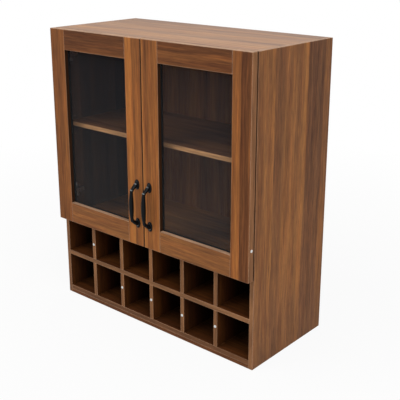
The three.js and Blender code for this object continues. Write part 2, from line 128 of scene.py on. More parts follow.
# Edges, and the faces that look up, which get a painted sheen: the turn of the normal where each begins
# and is full
EDGE_FACING = (0.5, 0.3)
PAINTED_SHEEN_FACING = (0.6, 0.8)
PAINTED_SHEEN_COVER = 0.6
MOTTLE_SPAN = (0.32, 0.68)
MOTTLE_TONES = (0.62, 1.22)
EDGE_TONE = (0.278, 0.134, 0.060, 1)
DOOR_EDGE_TONE = (0.300, 0.150, 0.070, 1)
# Painted light: the shelf's front edge is far paler than the other edges, so that it shows bright behind
# the smoked glass
SHELF_EDGE_PAINTED_LIGHT = (0.86, 0.44, 0.18, 1)
BASE_EDGE_TONE = (0.150, 0.066, 0.029, 1)
LEFT_EDGE_TONE = (0.160, 0.074, 0.036, 1)
# Painted sheen on the faces that look up
DOOR_PAINTED_SHEEN_TONE = (0.47, 0.31, 0.21, 1)
SIDE_PAINTED_SHEEN_TONE = (0.43, 0.285, 0.20, 1)

# Worn arrises with a painted highlight, found by how a rounded normal leans away from the face's own
ARRIS_RADIUS = 2.2 * MM
ARRIS_SAMPLES = 4
ARRIS_BEND = (0.99, 0.88)
WEAR_AND_HIGHLIGHT_SPAN = (0.3, 0.55)
WEAR_AND_HIGHLIGHT_AMOUNTS = (0.4, 1.0)
WEAR_AND_HIGHLIGHT_COVER = 0.75
WEAR_AND_HIGHLIGHT_TONE = (0.58, 0.37, 0.24, 1)

WOOD_ROUGHNESS = (0.64, 0.54)
WOOD_BUMP = 0.15
WOOD_RELIEF = 0.6 * MM
LINE_RELIEF = 0.6
PORE_RELIEF = -0.8
PLAIN_GLOSS = 0.12
SIDE_GLOSS = 0.18
TOP_GLOSS = 1.0

# What boards and faces are multiplied by, much of it painted light and shade. A pair runs from the
# rack's front edges to its depth
# Leaves the faces above the deck as they are, while the rack and the gap behind the doors still get
# their painted shade
NO_PAINTED_SHADE_ABOVE_DECK = (1, 1, 1, 1)
# Painted shade in the rack's cubbies, for floors and for walls, darker towards their depth
RACK_FLOOR_PAINTED_SHADES = ((0.55, 0.42, 0.26, 1), (0.29, 0.28, 0.19, 1))
RACK_WALL_PAINTED_SHADES = ((0.32, 0.24, 0.14, 1), (0.08, 0.055, 0.035, 1))
RACK_DIM_REACH = (10 * MM, 90 * MM)
# Painted shade on the carcass's inner side walls, and painted light on its back, shelf and deck behind
# the glass
WALL_PAINTED_SHADE = (0.26, 0.25, 0.25, 1)
BACK_PAINTED_LIGHT = (1.00, 1.02, 1.06, 1)
SHELF_PAINTED_LIGHT = (1.05, 1.08, 1.15, 1)
DECK_PAINTED_LIGHT = (1.22, 1.36, 1.45, 1)
DOOR_TINT = (0.98, 0.87, 0.75, 1)
LOW_RAIL_TINT = (0.97, 0.94, 0.95, 1)
# A cooler, paler top: painted sheen on top of the lacquer's own gloss
TOP_PAINTED_SHEEN_TINT = (0.97, 1.08, 1.15, 1)
# Painted shade in narrow gaps: on the stiles' sides, beside the seam, and on the carcass's front edges
# behind the doors
LIP_PAINTED_SHADE = (0.14, 0.12, 0.11, 1)
GAP_PAINTED_SHADE = (0.36, 0.33, 0.31, 1)
TOP_GAP_PAINTED_SHADE = (0.80, 0.70, 0.62, 1)

# Masks: how near to its plane a face must lie, and the turn of the normal where each begins and is full
INSIDE_SLACK = 0.6 * MM
LIP_SLACK = 1.2 * MM
SEAM_WIDTH = 1.4 * MM
LIP_FACING = (0.8, 0.9)
FRONT_FACING = (-0.5, -0.7)
LEVEL_FACING = (0.5, 0.6)

# Where the carcass's inner faces, its front edges and the doors lie
side_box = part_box("left_side_panel")
CARCASS_FRONT = side_box[0].y
INNER_HALF = -side_box[1].x
BACK_MIDDLE = sum(corner.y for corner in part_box("back_panel")) / 2
TOP_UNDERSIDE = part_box("top_panel")[0].z
FLOOR_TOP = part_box("bottom_panel")[1].z
DECK_MIDDLE = sum(corner.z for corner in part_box("deck_panel")) / 2
DOOR_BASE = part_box("left_door_bottom_rail")[0].z
AXES = {"x": 0, "y": 1, "z": 2}


# Node materials
class Graph:
    """A node tree under construction. Each call adds a node or a few."""

    def __init__(self, tree):
        self.tree = tree
        tree.nodes.clear()

    def add(self, kind, inputs=None, **settings):
        node = self.tree.nodes.new("ShaderNode" + kind)
        for name, value in settings.items():
            setattr(node, name, value)
        for name, value in (inputs or {}).items():
            self.fill(node.inputs[name], value)
        return node

    def fill(self, socket, value):
        if isinstance(value, bpy.types.NodeSocket):
            self.tree.links.new(value, socket)
        else:
            socket.default_value = value

    def math(self, operation, *values):
        inputs = dict(enumerate(values))
        return self.add("Math", inputs, operation=operation).outputs[0]

    def scaled(self, vector, scale, offset=(0, 0, 0)):
        inputs = {0: vector, 1: scale, 2: offset}
        return self.add("VectorMath", inputs, operation="MULTIPLY_ADD").outputs[0]

    def noise(self, vector, detail=NOISE_DETAIL, roughness=0.5):
        inputs = {"Vector": vector, "Scale": 1.0, "Detail": detail, "Roughness": roughness}
        return self.add("TexNoise", inputs).outputs[0]

    def centred(self, value, amount):
        """The value less a half, times an amount."""
        return self.math("MULTIPLY", self.math("SUBTRACT", value, 0.5), amount)

    def total(self, *values):
        result = values[0]
        for value in values[1:]:
            result = self.math("ADD", result, value)
        return result

    def product(self, *values):
        result = values[0]
        for value in values[1:]:
            result = self.math("MULTIPLY", result, value)
        return result

    def ranged(self, value, low, high, new_low=0.0, new_high=1.0):
        inputs = {0: value, 1: low, 2: high, 3: new_low, 4: new_high}
        return self.add("MapRange", inputs).outputs[0]

    def share(self, value, low, high):
        """How far the value lies from low to high."""
        return self.math("DIVIDE", self.math("SUBTRACT", value, low), high - low)

    def split(self, vector):
        return self.add("SeparateXYZ", {0: vector}).outputs

    def joined(self, x, y, z):
        return self.add("CombineXYZ", {0: x, 1: y, 2: z}).outputs[0]

    def length(self, vector):
        return self.add("VectorMath", {0: vector}, operation="LENGTH").outputs["Value"]

    def ramp(self, value, stops, interpolation="LINEAR"):
        node = self.add("ValToRGB", {0: value})
        ramp = node.color_ramp
        ramp.interpolation = interpolation
        while len(ramp.elements) < len(stops):
            ramp.elements.new(1.0)
        for element, (place, colour) in zip(ramp.elements, stops):
            element.position = place
            element.color = (*colour, 1.0)
        return node.outputs[0]

    def mix(self, factor, first, second, blend="MIX"):
        node = self.add("Mix", data_type="RGBA", blend_type=blend)
        self.fill(node.inputs[0], factor)
        self.fill(node.inputs[6], first)
        self.fill(node.inputs[7], second)
        return node.outputs[2]

    def tinted(self, colour, tint):
        """The colour multiplied by another."""
        return self.mix(1.0, colour, tint, "MULTIPLY")

    def dimmed(self, mask, colour, shade):
        """The colour, multiplied by a shade where the mask is one."""
        return self.mix(mask, colour, self.tinted(colour, shade))

    def surface(self, shader):
        out = self.add("OutputMaterial")
        self.tree.links.new(shader.outputs[0], out.inputs[0])


def material(name):
    """A new node material, and the graph that builds it."""
    made = bpy.data.materials.new(name)
    made.use_nodes = True
    return made, Graph(made.node_tree)


def dress(node, finish):
    """Gives a CAD node its finish, in every slot that it has."""
    for slot in nodes[node].material_slots:
        slot.material = finish


# Masks for the wood's painted light and shade: one on the faces that they name, and nought elsewhere
def within_carcass(g, place):
    """The faces that look into the carcass."""
    x, y, z = place[0], place[1], place[2]
    return g.product(
        g.math("LESS_THAN", g.math("ABSOLUTE", x), INNER_HALF + INSIDE_SLACK),
        g.math("GREATER_THAN", y, CARCASS_FRONT + INSIDE_SLACK),
        g.math("LESS_THAN", y, BACK_MIDDLE),
        g.math("LESS_THAN", z, TOP_UNDERSIDE + INSIDE_SLACK),
        g.math("GREATER_THAN", z, FLOOR_TOP - INSIDE_SLACK),
    )


def on_face(g, place, normal, axis, where):
    """The faces across an axis at a place along it."""
    index = AXES[axis]
    away = g.math("ABSOLUTE", g.math("SUBTRACT", place[index], where))
    facing = g.ranged(g.math("ABSOLUTE", normal[index]), *LIP_FACING)
    return g.product(g.math("LESS_THAN", away, LIP_SLACK), facing)


def beside_seam(g, place, normal, where):
    """The strip of a door's front next to the upright seam between the doors, which gets a painted
    shadow line.
    """
    away = g.math("ABSOLUTE", g.math("SUBTRACT", place[0], where))
    facing = g.ranged(normal[1], *FRONT_FACING)
    return g.product(g.math("LESS_THAN", away, SEAM_WIDTH), facing)


def behind_doors(g, place, normal):
    """The carcass's front edges behind the doors, which get a painted shade."""
    above = g.math("GREATER_THAN", place[2], DOOR_BASE)
    return g.product(above, on_face(g, place, normal, "y", CARCASS_FRONT))


def arrises(g):
    """The arrises, as far as the wear and its painted highlight reach from them."""
    rounded = g.add("Bevel", {"Radius": ARRIS_RADIUS}, samples=ARRIS_SAMPLES).outputs[0]
    square = g.add("NewGeometry").outputs["Normal"]
    inputs = {0: rounded, 1: square}
    bend = g.add("VectorMath", inputs, operation="DOT_PRODUCT").outputs["Value"]
    return g.ranged(bend, *ARRIS_BEND)


# Wood
def wood_noise(g, name, grain, seed, seed_step=SEED_STEP):
    """One of the wood's noises, at the board's own place in it."""
    scale, detail, roughness = WOOD_NOISES[name]
    offset = tuple(step * seed for step in seed_step)
    return g.noise(g.scaled(grain, scale, offset), detail, roughness)


def set_bands(g, reach, share, bands, swells):
    """The tone of set bands at a share of the board's length and a share of its width."""
    stops = [(stop, (tone, tone, tone)) for stop, tone in bands]
    steps = [(stop, (strength, mean, 0.0)) for stop, strength, mean in swells]
    strength, mean = g.split(g.ramp(reach, steps, "EASE"))[:2]
    figure = g.centred(g.split(g.ramp(share, stops, "EASE"))[0], strength)
    return g.total(figure, mean)


def inner_shade(g, place, normal, shade):
    """What an inner face is multiplied by: the painted light and shade above the deck, and the rack's
    own painted shade below it.
    """
    level = g.ranged(g.math("ABSOLUTE", normal[2]), *LEVEL_FACING)
    depth = g.ranged(g.math("SUBTRACT", place[1], CARCASS_FRONT), *RACK_DIM_REACH)
    rack_shade = g.mix(level, g.mix(depth, *RACK_WALL_PAINTED_SHADES), g.mix(depth, *RACK_FLOOR_PAINTED_SHADES))
    return g.mix(g.math("GREATER_THAN", place[2], DECK_MIDDLE), rack_shade, shade)


def wood(board, seed, along, across, bands=None, swells=PLAIN_SWELLS, breaks=1.0, lift=0.0,
         tint=None, shade=None, edge=EDGE_TONE, edge_share=0.5, crest=None, lips=(), seam=None,
         gap=GAP_PAINTED_SHADE, gloss=PLAIN_GLOSS):
    """A board's walnut: streaks run along one axis and vary across another.

    bands: (share across the board, tone) pairs, or none for bands left to chance
    swells: (share along the board, strength of the bands, mean tone) triples
    breaks: how often the streaks break off along the board
    lift: what is added to the tone
    tint: what the whole board is multiplied by
    shade: the painted light and shade that the faces behind the doors are multiplied by; those in the
    rack have their own painted shade
    edge, edge_share: tone of the board's edges and how far it covers the grain
    crest: tone of a painted sheen on the faces that look up
    lips: (axis, place, shade) of the faces in a narrow gap, which get a painted shade
    seam: place of the upright edge that the other door meets, beside which a painted shadow line runs
    down the front
    gap: the painted shade that the front edges behind the doors are multiplied by
    gloss: how strongly the lacquer reflects
    """
    made, g = material(board)
    low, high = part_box(board)
    thick = ({"x", "y", "z"} - {along, across}).pop()
    coords = g.add("TexCoord").outputs
    place = g.split(coords["Object"])
    normal = g.split(coords["Normal"])
    run, cross, deep = place[AXES[along]], place[AXES[across]], place[AXES[thick]]

    # The grain strays a little across the board
    stretch = g.math("MULTIPLY", run, breaks)
    grain = g.joined(stretch, cross, deep)
    wander = g.centred(wood_noise(g, "wander", grain, seed), WANDER_REACH)
    feather = g.centred(wood_noise(g, "feather", grain, seed), FEATHER_REACH)
    bent = g.total(cross, wander, feather)
    bent_grain = g.joined(stretch, bent, deep)
    broad = wood_noise(g, "broad", bent_grain, seed)
    streak = wood_noise(g, "streak", bent_grain, seed)
    line = wood_noise(g, "line", bent_grain, seed)
    fibre = wood_noise(g, "fibre", bent_grain, seed)
    pore = g.ranged(wood_noise(g, "pores", bent_grain, seed), *PORE_SPAN)
    blush = g.ranged(wood_noise(g, "blush", bent_grain, seed, BLUSH_SEED_STEP), *BLUSH_SPAN)

    # Tone and colour
    if bands:
        reach = g.share(run, low[AXES[along]], high[AXES[along]])
        share = g.share(bent, low[AXES[across]], high[AXES[across]])
        base = g.total(set_bands(g, reach, share, bands, swells), g.centred(broad, BROAD_AMOUNT))
    else:
        base = g.ranged(broad, *NOISE_SPAN, *CHANCE_TONES)
    tone = g.total(
        base,
        g.centred(streak, STREAK_AMOUNT),
        g.centred(line, LINE_AMOUNT),
        g.centred(fibre, FIBRE_AMOUNT),
        lift,
    )
    colour = g.mix(g.math("MULTIPLY", pore, PORE_COVER), g.ramp(tone, WOOD_TONES), PORE_TONE)
    colour = g.tinted(colour, g.ramp(blush, BLUSH_TONES))
    if tint:
        colour = g.tinted(colour, tint)

    # Edges, a painted sheen on the faces that look up, and wear with a painted highlight on the arrises
    mottle = g.ranged(line, *MOTTLE_SPAN, *MOTTLE_TONES)
    on_edge = g.ranged(g.math("ABSOLUTE", normal[AXES[thick]]), *EDGE_FACING)
    colour = g.mix(g.math("MULTIPLY", on_edge, edge_share), colour, g.tinted(edge, mottle))
    if crest:
        upward = g.ranged(normal[2], *PAINTED_SHEEN_FACING)
        colour = g.mix(g.math("MULTIPLY", upward, PAINTED_SHEEN_COVER), colour, g.tinted(crest, mottle))
    patches = g.ranged(streak, *WEAR_AND_HIGHLIGHT_SPAN, *WEAR_AND_HIGHLIGHT_AMOUNTS)
    colour = g.mix(g.product(arrises(g), patches, WEAR_AND_HIGHLIGHT_COVER), colour, WEAR_AND_HIGHLIGHT_TONE)

    # Painted shade in narrow gaps, beside the seam and inside the carcass, and painted light on the
    # back, shelf and deck behind the glass
    for axis, where, dimming in lips:
        colour = g.dimmed(on_face(g, place, normal, axis, where), colour, dimming)
    if seam is not None:
        colour = g.dimmed(beside_seam(g, place, normal, seam), colour, LIP_PAINTED_SHADE)
    if shade:
        colour = g.dimmed(behind_doors(g, place, normal), colour, gap)
        colour = g.dimmed(within_carcass(g, place), colour, inner_shade(g, place, normal, shade))

    height = g.total(g.math("MULTIPLY", line, LINE_RELIEF), g.math("MULTIPLY", pore, PORE_RELIEF))
    bump = g.add("Bump", {"Strength": WOOD_BUMP, "Distance": WOOD_RELIEF, "Height": height})
    g.surface(g.add("BsdfPrincipled", {
        "Base Color": colour,
        "Roughness": g.ranged(streak, *NOISE_SPAN, *WOOD_ROUGHNESS),
        "Specular IOR Level": gloss,
        "Normal": bump.outputs[0],
    }))
    return made


# Other finishes: noise scales, then colours or values from the noise's low end to its high end
# Painted reflection on the glass, from the top of the pane to its foot
PAINTED_REFLECTION_COLOURS = ((0.036, 0.036, 0.041, 1), (0.062, 0.065, 0.069, 1))
HAZE_SCALE = (6.0, 6.0, 3.0)
HAZE_AMOUNT = 0.3
GLASS_ROUGHNESS = (0.01, 0.03)
GLASS_ALPHA = 0.20
SKIN_SCALE = (900.0, 900.0, 900.0)
SKIN_BUMP = 0.12
SKIN_RELIEF = 0.2 * MM
BEAD_SCALE = (40.0, 40.0, 40.0)
BEAD_COLOURS = ((0.0070, 0.0063, 0.0063, 1), (0.010, 0.009, 0.009, 1))
BEAD_ROUGHNESS = (0.55, 0.65)
BEAD_GLOSS = 0.1
PAINT_SCALE = (300.0, 300.0, 300.0)
PAINT_COLOUR = (0.003, 0.004, 0.005, 1)
PAINT_ROUGHNESS = (0.17, 0.27)
PAINT_GLOSS = 0.09
# Rubbed paint on the handles, which also stands in for painted highlights
RUBBED_AND_HIGHLIGHT_COLOUR = (0.19, 0.205, 0.21, 1)
RUBBED_AND_HIGHLIGHT_CORE = 0.4
RUBBED_AND_HIGHLIGHT_SPAN = (0.25, 0.5)
STEEL_SCALE = (300.0, 2500.0, 300.0)
STEEL_COLOURS = ((0.38, 0.38, 0.39, 1), (0.54, 0.54, 0.54, 1))
STEEL_ROUGHNESS = {"hinge_steel": (0.22, 0.36), "pin_steel": (0.28, 0.42), "screw_steel": (0.24, 0.38)}
DOT_SCALE = (250.0, 250.0, 250.0)
DOT_COLOURS = ((0.58, 0.59, 0.58, 1), (0.76, 0.77, 0.76, 1))
DOT_ROUGHNESS = (0.20, 0.32)


def smoked_glass():
    """Dark glass whose film is a painted reflection, lighter towards the foot of the pane."""
    made, g = material("smoked_glass")
    low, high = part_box("right_door_glass")
    coords = g.add("TexCoord").outputs["Object"]
    haze = g.noise(g.scaled(coords, HAZE_SCALE))
    descent = g.ranged(g.split(coords)[2], high.z, low.z)
    painted_reflection = g.math("ADD", descent, g.centred(haze, HAZE_AMOUNT))
    g.surface(g.add("BsdfPrincipled", {
        "Base Color": g.mix(painted_reflection, *PAINTED_REFLECTION_COLOURS),
        "Roughness": g.ranged(haze, *NOISE_SPAN, *GLASS_ROUGHNESS),
        "Specular IOR Level": 0.0,
        "Alpha": GLASS_ALPHA,
    }))
    return made


def skin(g, coords):
    """The faint orange peel of paint and plastic, as a normal."""
    height = g.noise(g.scaled(coords, SKIN_SCALE))
    inputs = {"Strength": SKIN_BUMP, "Distance": SKIN_RELIEF, "Height": height}
    return g.add("Bump", inputs).outputs[0]


def glass_bead():
    """Dull black plastic."""
    made, g = material("glass_bead")
    coords = g.add("TexCoord").outputs["Object"]
    patch = g.noise(g.scaled(coords, BEAD_SCALE))
    g.surface(g.add("BsdfPrincipled", {
        "Base Color": g.mix(patch, *BEAD_COLOURS),
        "Roughness": g.ranged(patch, *NOISE_SPAN, *BEAD_ROUGHNESS),
        "Specular IOR Level": BEAD_GLOSS,
        "Normal": skin(g, coords),
    }))
    return made


def black_handle(spots):
    """Black paint that is rubbed off round some spots, where the pale colour is also a painted
    highlight: (y, z, reach).
    """
    made, g = material("black_handle")
    coords = g.add("TexCoord").outputs["Object"]
    place = g.split(coords)
    patch = g.noise(g.scaled(coords, PAINT_SCALE))
    rubbed_and_highlight = 0.0
    for y, z, reach in spots:
        offset = g.joined(0.0, g.math("SUBTRACT", place[1], y), g.math("SUBTRACT", place[2], z))
        near = g.ranged(g.length(offset), reach, RUBBED_AND_HIGHLIGHT_CORE * reach)
        rubbed_and_highlight = g.math("MAXIMUM", rubbed_and_highlight, near)
    rubbed_and_highlight = g.math("MULTIPLY", rubbed_and_highlight, g.ranged(patch, *RUBBED_AND_HIGHLIGHT_SPAN))
    g.surface(g.add("BsdfPrincipled", {
        "Base Color": g.mix(rubbed_and_highlight, PAINT_COLOUR, RUBBED_AND_HIGHLIGHT_COLOUR),
        "Roughness": g.ranged(patch, *NOISE_SPAN, *PAINT_ROUGHNESS),
        "Specular IOR Level": PAINT_GLOSS,
        "Normal": skin(g, coords),
    }))
    return made


def steel(name):
    """Brushed steel."""
    made, g = material(name)
    coords = g.add("TexCoord").outputs["Object"]
    brush = g.noise(g.scaled(coords, STEEL_SCALE))
    g.surface(g.add("BsdfPrincipled", {
        "Base Color": g.mix(brush, *STEEL_COLOURS),
        "Metallic": 1.0,
        "Roughness": g.ranged(brush, *NOISE_SPAN, *STEEL_ROUGHNESS[name]),
    }))
    return made


def clear_dot():
    """Pale soft plastic, a little cloudy."""
    made, g = material("clear_dot")
    coords = g.add("TexCoord").outputs["Object"]
    cloud = g.noise(g.scaled(coords, DOT_SCALE))
    g.surface(g.add("BsdfPrincipled", {
        "Base Color": g.mix(cloud, *DOT_COLOURS),
        "Roughness": g.ranged(cloud, *NOISE_SPAN, *DOT_ROUGHNESS),
    }))
    return made


# Camera, light and floor
def make_camera():
    data = bpy.data.cameras.new("camera")
    data.sensor_width = SENSOR_WIDTH
    data.lens = FOCAL_PIXELS / IMAGE_PIXELS * SENSOR_WIDTH
    data.shift_y = LENS_SHIFT
    camera = bpy.data.objects.new("camera", data)
    camera.location = CAMERA_PLACE
    camera.rotation_euler = (math.pi / 2 - CAMERA_PITCH, 0, CAMERA_AZIMUTH)
    scene.collection.objects.link(camera)
    scene.camera = camera


def make_lamp(name, place, size, strength):
    """A square lamp that is aimed at the cabinet's middle."""
    reach = Vector(AIM) - Vector(place)
    data = bpy.data.lights.new(name, "AREA")
    data.size = size
    data.energy = strength * math.pi ** 2 * reach.length_squared
    lamp = bpy.data.objects.new(name, data)
    lamp.location = place
    lamp.rotation_euler = reach.to_track_quat("-Z", "Y").to_euler()
    scene.collection.objects.link(lamp)


def seen_directly(g):
    """One where the camera, a reflection or a clear pane shows the surface, and nought for its light."""
    path = g.add("LightPath").outputs
    seen = g.math("MAXIMUM", path["Is Camera Ray"], path["Is Glossy Ray"])
    return g.math("MAXIMUM", seen, path["Is Transmission Ray"])


def make_sky():
    world = bpy.data.worlds.new("studio")
    world.use_nodes = True
    scene.world = world
    g = Graph(world.node_tree)
    strength = g.ranged(seen_directly(g), 0.0, 1.0, SKY_LIGHT, WHITE_GLOW)
    sky = g.add("Background", {"Color": WHITE, "Strength": strength})
    out = g.add("OutputWorld")
    world.node_tree.links.new(sky.outputs[0], out.inputs[0])


def make_floor():
    """A pale floor that keeps a soft shadow near the cabinet and fades to white away from it."""
    bpy.ops.mesh.primitive_plane_add(size=FLOOR_SIZE, location=(0, 0, -FLOOR_DROP))
    floor = bpy.context.object
    floor.name = "studio_floor"
    made, g = material("studio_floor")
    plain = g.add("BsdfDiffuse", {"Color": FLOOR_COLOUR})
    glow = g.add("Emission", {"Color": WHITE, "Strength": WHITE_GLOW})
    away = g.length(g.add("TexCoord").outputs["Object"])
    share = g.ranged(away, *FLOOR_GLOW_REACH, FLOOR_GLOW_NEAR, 1.0)
    share = g.math("MULTIPLY", seen_directly(g), share)
    g.surface(g.add("MixShader", {0: share, 1: plain.outputs[0], 2: glow.outputs[0]}))
    floor.data.materials.append(made)


make_camera()
make_sky()
for lamp_name, lamp_facts in LAMPS.items():
    make_lamp(lamp_name, **lamp_facts)
make_floor()
scene.view_settings.view_transform = "Standard"

# Carcass boards: the axis that the grain runs along, the one across the face, and the wood's facts.
# A board's seed is its place in the list
FIRST_BOARD_SEED = 1
RACK_NUMBERS = range(1, 6)
SIDE_BANDS = [
    (0, 0.50), (0.1, 0.58), (0.15, 0.55), (0.18, 0.70), (0.205, 0.80), (0.218, 0.41), (0.27, 0.37),
    (0.33, 0.39), (0.36, 0.58), (0.43, 0.51), (0.47, 0.62), (0.53, 0.54), (0.59, 0.66), (0.63, 0.84),
    (0.65, 0.78), (0.672, 0.30), (0.78, 0.20), (0.89, 0.24), (0.912, 0.52), (0.95, 0.45), (1, 0.44),
]
SIDE_SWELLS = [
    (0, 0.40, 0.45), (0.12, 0.50, 0.47), (0.27, 0.84, 0.55), (0.42, 0.90, 0.555),
    (0.58, 0.90, 0.485), (0.73, 0.88, 0.42), (1, 0.88, 0.42),
]
SIDE_FACTS = {
    "bands": SIDE_BANDS, "swells": SIDE_SWELLS, "breaks": 1.4, "lift": 0.06, "gloss": SIDE_GLOSS,
    "shade": WALL_PAINTED_SHADE, "crest": SIDE_PAINTED_SHEEN_TONE,
}
TOP_BANDS = [
    (0, 0.55), (0.06, 0.53), (0.12, 0.68), (0.2, 0.78), (0.28, 0.66), (0.35, 0.45), (0.42, 0.58),
    (0.52, 0.66), (0.62, 0.58), (0.68, 0.45), (0.76, 0.58), (0.9, 0.48), (1, 0.41),
]
# The top is tinted cooler and paler, a painted sheen
TOP_FACTS = {
    "bands": TOP_BANDS, "lift": 0.04, "tint": TOP_PAINTED_SHEEN_TINT, "gap": TOP_GAP_PAINTED_SHADE, "gloss": TOP_GLOSS,
}
# A board's shade is the painted light and shade of its faces inside the carcass
BOARDS = {
    "left_side_panel": ("z", "y", {**SIDE_FACTS, "edge": LEFT_EDGE_TONE}),
    "right_side_panel": ("z", "y", SIDE_FACTS),
    "top_panel": ("x", "y", TOP_FACTS),
    "deck_panel": ("x", "y", {"lift": 0.1, "shade": DECK_PAINTED_LIGHT}),
    "bottom_panel": ("x", "y", {"lift": -0.14, "edge": BASE_EDGE_TONE, "edge_share": 0.7}),
    "bottom_front_strip": ("x", "z", {"lift": -0.15, "tint": DOOR_TINT}),
    "rack_shelf": ("x", "y", {"lift": -0.12, "edge_share": 0.65}),
    "adjustable_shelf": (
        "x", "y", {"shade": SHELF_PAINTED_LIGHT, "edge": SHELF_EDGE_PAINTED_LIGHT, "edge_share": 0.92},
    ),
    "back_panel": ("z", "x", {"lift": 0.10, "shade": BACK_PAINTED_LIGHT}),
    "hanging_rail": ("x", "z", {"lift": -0.05}),
    **{f"rack_divider_{number}": ("z", "y", {}) for number in RACK_NUMBERS},
}
for seed, (board, (along, across, facts)) in enumerate(BOARDS.items(), FIRST_BOARD_SEED):
    dress(board, wood(board, seed, along, across, **{"shade": NO_PAINTED_SHADE_ABOVE_DECK, **facts}))

# Door frames: upright grain on the stiles, level grain on the rails. Seeds go by the list again
FIRST_DOOR_SEED = 31
DOOR_BANDS = {
    "left_door_outer_stile": [(0.0, 0.44), (0.3, 0.44), (0.62, 0.48), (0.9, 0.56), (1.0, 0.54)],
    "left_door_inner_stile": [
        (0.0, 0.64), (0.08, 0.76), (0.2, 0.82), (0.36, 0.90), (0.46, 0.78), (0.51, 0.52),
        (0.8, 0.68), (1.0, 0.60),
    ],
    "right_door_inner_stile": [
        (0.0, 0.88), (0.12, 0.64), (0.22, 0.40), (0.5, 0.58), (0.62, 0.46), (0.78, 0.52),
        (0.88, 0.58), (1.0, 0.50),
    ],
    "right_door_outer_stile": [
        (0.0, 0.58), (0.1, 0.60), (0.36, 0.74), (0.43, 0.66), (0.47, 0.31), (0.86, 0.30),
        (0.94, 0.42), (1.0, 0.40),
    ],
    "left_door_top_rail": [(0.0, 0.52), (0.12, 0.44), (0.3, 0.32), (1.0, 0.28)],
    "right_door_top_rail": [
        (0.0, 0.36), (0.2, 0.30), (0.4, 0.46), (0.48, 0.50), (0.6, 0.34), (0.8, 0.22), (1.0, 0.24),
    ],
    "left_door_bottom_rail": [(0.0, 0.58), (0.4, 0.58), (0.7, 0.64), (1.0, 0.64)],
    "right_door_bottom_rail": [(0.0, 0.58), (0.3, 0.62), (0.6, 0.68), (0.8, 0.60), (1.0, 0.62)],
}
# Some stiles grow lighter towards their foot: partly the wood's figure, partly painted light against the
# lamps' fall-off down the doors
DOOR_SWELLS = {
    "left_door_outer_stile": [(0, 1.0, 0.57), (0.4, 1.0, 0.54), (1, 1.0, 0.50)],
    "left_door_inner_stile": [(0, 1.23, 0.50), (0.5, 1.23, 0.50), (1, 1.0, 0.50)],
    "right_door_inner_stile": [(0, 1.0, 0.63), (0.5, 1.0, 0.58), (1, 1.0, 0.50)],
    "right_door_outer_stile": [(0, 1.3, 0.61), (0.5, 1.09, 0.56), (1, 1.08, 0.41)],
    "left_door_top_rail": [(0, 1.0, 0.44), (1, 1.0, 0.47)],
    "right_door_top_rail": [(0, 1.0, 0.48), (1, 1.0, 0.44)],
}
# Painted shade on the sides of the stiles: those that face the pane, and those that face the other door
STILE_LIPS = {
    "left_door_outer_stile": {"right": LIP_PAINTED_SHADE},
    "left_door_inner_stile": {"left": LIP_PAINTED_SHADE, "right": GAP_PAINTED_SHADE},
    "right_door_inner_stile": {"left": GAP_PAINTED_SHADE, "right": LIP_PAINTED_SHADE},
    "right_door_outer_stile": {"left": LIP_PAINTED_SHADE},
}
for seed, (board, bands) in enumerate(DOOR_BANDS.items(), FIRST_DOOR_SEED):
    low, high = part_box(board)
    sides = {"left": low.x, "right": high.x}
    along, across = ("z", "x") if board.endswith("stile") else ("x", "z")
    lips = [("x", sides[side], shade) for side, shade in STILE_LIPS.get(board, {}).items()]
    dress(board, wood(
        board, seed, along, across,
        bands=bands,
        swells=DOOR_SWELLS.get(board, PLAIN_SWELLS),
        tint=LOW_RAIL_TINT if board.endswith("bottom_rail") else DOOR_TINT,
        edge=DOOR_EDGE_TONE,
        crest=DOOR_PAINTED_SHEEN_TONE,
        lips=lips,
        seam=high.x if board == "left_door_inner_stile" else None,
    ))

# Where the handles' paint is rubbed, which is also a painted highlight, in millimetres: outwards from
# the door, up from the middle, reach
RUBBED_AND_HIGHLIGHT_SPOTS = [(28.4, 52.0, 2.6), (10.2, 68.8, 2.9), (5.5, -70.4, 2.3)]
handle_low, handle_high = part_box("left_handle")
HANDLE_MIDDLE = (handle_low.z + handle_high.z) / 2
HANDLE_RUBBED_AND_HIGHLIGHT_SPOTS = [
    (handle_high.y - out * MM, HANDLE_MIDDLE + up * MM, reach * MM) for out, up, reach in RUBBED_AND_HIGHLIGHT_SPOTS
]
FINISHES = {
    "smoked_glass": smoked_glass(),
    "glass_bead": glass_bead(),
    "black_handle": black_handle(HANDLE_RUBBED_AND_HIGHLIGHT_SPOTS),
    **{name: steel(name) for name in STEEL_ROUGHNESS},
    "clear_dot": clear_dot(),
}
for part in frame["record"]["subparts"]:
    if part["material_slot"] in FINISHES:
        dress(part["node"], FINISHES[part["material_slot"]])


# Shells: a closed body as its corners and its faces
def turned(profile, sides, oval=1.0):
    """A body turned about Z from (radius, height) pairs that start and end on the axis."""
    corners = [(0, 0, profile[0][1])]
    rings = profile[1:-1]
    for radius, height in rings:
        for side in range(sides):
            angle = 2 * math.pi * side / sides
            corners.append((radius * math.cos(angle), oval * radius * math.sin(angle), height))
    corners.append((0, 0, profile[-1][1]))
    last = len(corners) - 1
    faces = []
    for side in range(sides):
        after = (side + 1) % sides
        faces.append((0, 1 + after, 1 + side))
        for ring in range(len(rings) - 1):
            base = 1 + ring * sides
            faces.append((base + side, base + after, base + sides + after, base + sides + side))
        base = 1 + (len(rings) - 1) * sides
        faces.append((base + side, base + after, last))
    return [Vector(corner) for corner in corners], faces


